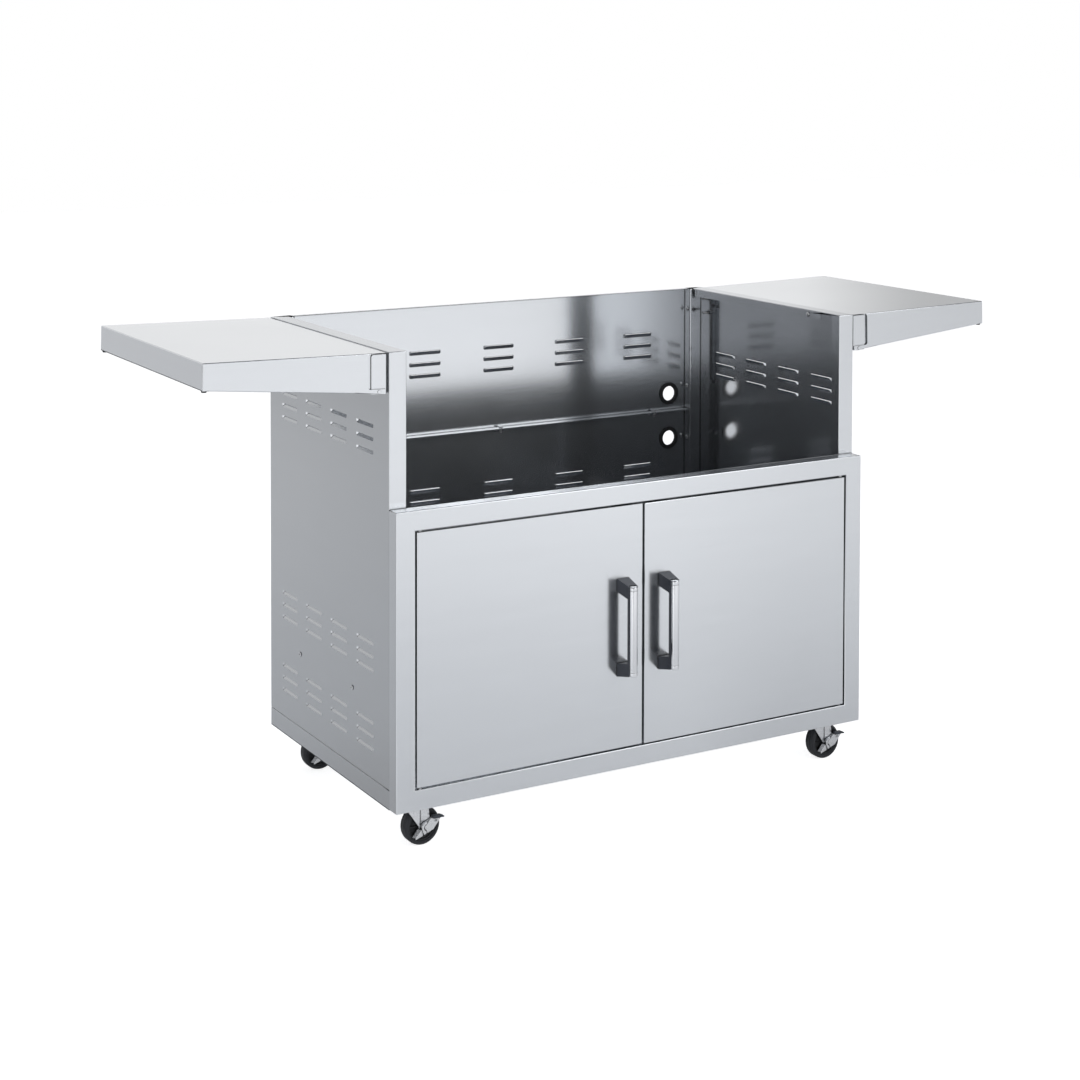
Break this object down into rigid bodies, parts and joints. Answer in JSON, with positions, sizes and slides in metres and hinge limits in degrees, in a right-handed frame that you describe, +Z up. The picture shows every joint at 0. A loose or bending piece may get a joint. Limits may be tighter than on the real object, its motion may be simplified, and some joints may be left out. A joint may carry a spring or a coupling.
{
  "type": "grill cart",
  "caption": "Open-topped stainless grill cart: a cabinet with inset doors, louvred walls, fold-down side shelves and braked swivel casters.",
  "frame": {"origin": "on the floor, below the middle of the whole cart's box", "axes": "+X to the cart's right seen from the front, +Y to the back, +Z up"},
  "size_m": [1.7608, 0.6308, 0.926],
  "materials": {
    "stainless": "fine horizontal brushing",
    "handle_steel": "satin",
    "zinc": "bright zinc plate",
    "handle_plastic": "matte dark grey",
    "wheel_hub": "matte black",
    "tyre": "matte black rubber",
    "rubber": "matte black"
  },
  "bodies": {
    "cabinet": {"left_side_panel": "stainless", "right_side_panel": "stainless", "upper_back_panel": "stainless", "lower_back_panel": "stainless", "base_pan": "stainless", "front_frame": "stainless", "hose_grommets": "rubber", "inner_rails": "stainless", "side_screws": "zinc", "back_screws": "zinc", "caster_rails": "stainless", "caster_plates": "zinc", "caster_bolts": "zinc", "left_shelf_brackets": "stainless", "right_shelf_brackets": "stainless", "shelf_bracket_bolts": "zinc", "left_door_hinge_pins": "zinc", "right_door_hinge_pins": "zinc", "door_catches": "handle_plastic"},
    "left_door": {"left_door_skin": "stainless", "left_door_liner": "stainless", "left_door_strike": "stainless", "left_handle_body": "handle_plastic", "left_handle_bar": "handle_steel", "left_handle_tips": "handle_steel"},
    "right_door": {"right_door_skin": "stainless", "right_door_liner": "stainless", "right_door_strike": "stainless", "right_handle_body": "handle_plastic", "right_handle_bar": "handle_steel", "right_handle_tips": "handle_steel"},
    "left_shelf": {"left_shelf_top": "stainless", "left_shelf_channel": "stainless", "left_shelf_hinge_arms": "stainless", "left_shelf_bumpers": "rubber"},
    "right_shelf": {"right_shelf_top": "stainless", "right_shelf_channel": "stainless", "right_shelf_hinge_arms": "stainless", "right_shelf_bumpers": "rubber"},
    "front_left_caster": {"front_left_fork": "zinc", "front_left_axle": "zinc"},
    "front_left_wheel": {"front_left_hub": "wheel_hub", "front_left_tyre": "tyre"},
    "front_left_brake_lever": {"front_left_brake": "zinc"},
    "front_right_caster": {"front_right_fork": "zinc", "front_right_axle": "zinc"},
    "front_right_wheel": {"front_right_hub": "wheel_hub", "front_right_tyre": "tyre"},
    "front_right_brake_lever": {"front_right_brake": "zinc"},
    "rear_left_caster": {"rear_left_fork": "zinc", "rear_left_axle": "zinc"},
    "rear_left_wheel": {"rear_left_hub": "wheel_hub", "rear_left_tyre": "tyre"},
    "rear_left_brake_lever": {"rear_left_brake": "zinc"},
    "rear_right_caster": {"rear_right_fork": "zinc", "rear_right_axle": "zinc"},
    "rear_right_wheel": {"rear_right_hub": "wheel_hub", "rear_right_tyre": "tyre"},
    "rear_right_brake_lever": {"rear_right_brake": "zinc"}
  },
  "joints": [
    {"name": "left_door_hinge", "type": "hinge", "parent": "cabinet", "child": "left_door", "pos_m": [-0.4775, -0.26362, 0.3605], "axis": [0, 0, -1], "range_deg": [0, 110]},
    {"name": "right_door_hinge", "type": "hinge", "parent": "cabinet", "child": "right_door", "pos_m": [0.4775, -0.26362, 0.3605], "axis": [0, 0, 1], "range_deg": [0, 110]},
    {"name": "left_shelf_fold", "type": "hinge", "parent": "cabinet", "child": "left_shelf", "pos_m": [-0.5455, 0.03723, 0.8493], "axis": [0, -1, 0], "range_deg": [0, 96.5]},
    {"name": "right_shelf_fold", "type": "hinge", "parent": "cabinet", "child": "right_shelf", "pos_m": [0.5455, 0.03723, 0.8493], "axis": [0, 1, 0], "range_deg": [0, 96.5]},
    {"name": "front_left_swivel", "type": "hinge", "parent": "cabinet", "child": "front_left_caster", "pos_m": [-0.4645, -0.20863, 0.095], "axis": [0, 0, 1], "continuous": true},
    {"name": "front_left_wheel_spin", "type": "hinge", "parent": "front_left_caster", "child": "front_left_wheel", "pos_m": [-0.4495, -0.20863, 0.036], "axis": [0, 1, 0], "continuous": true},
    {"name": "front_left_brake_press", "type": "hinge", "parent": "front_left_caster", "child": "front_left_brake_lever", "pos_m": [-0.4495, -0.22662, 0.036], "axis": [0, 1, 0], "range_deg": [0, 20]},
    {"name": "front_right_swivel", "type": "hinge", "parent": "cabinet", "child": "front_right_caster", "pos_m": [0.4645, -0.20863, 0.095], "axis": [0, 0, 1], "continuous": true},
    {"name": "front_right_wheel_spin", "type": "hinge", "parent": "front_right_caster", "child": "front_right_wheel", "pos_m": [0.4795, -0.20863, 0.036], "axis": [0, 1, 0], "continuous": true},
    {"name": "front_right_brake_press", "type": "hinge", "parent": "front_right_caster", "child": "front_right_brake_lever", "pos_m": [0.4795, -0.22662, 0.036], "axis": [0, 1, 0], "range_deg": [0, 20]},
    {"name": "rear_left_swivel", "type": "hinge", "parent": "cabinet", "child": "rear_left_caster", "pos_m": [-0.4645, 0.25138, 0.095], "axis": [0, 0, 1], "continuous": true},
    {"name": "rear_left_wheel_spin", "type": "hinge", "parent": "rear_left_caster", "child": "rear_left_wheel", "pos_m": [-0.4495, 0.25138, 0.036], "axis": [0, 1, 0], "continuous": true},
    {"name": "rear_left_brake_press", "type": "hinge", "parent": "rear_left_caster", "child": "rear_left_brake_lever", "pos_m": [-0.4495, 0.23337, 0.036], "axis": [0, 1, 0], "range_deg": [0, 20]},
    {"name": "rear_right_swivel", "type": "hinge", "parent": "cabinet", "child": "rear_right_caster", "pos_m": [0.4645, 0.25138, 0.095], "axis": [0, 0, 1], "continuous": true},
    {"name": "rear_right_wheel_spin", "type": "hinge", "parent": "rear_right_caster", "child": "rear_right_wheel", "pos_m": [0.4795, 0.25138, 0.036], "axis": [0, 1, 0], "continuous": true},
    {"name": "rear_right_brake_press", "type": "hinge", "parent": "rear_right_caster", "child": "rear_right_brake_lever", "pos_m": [0.4795, 0.23337, 0.036], "axis": [0, 1, 0], "range_deg": [0, 20]}
  ]
}
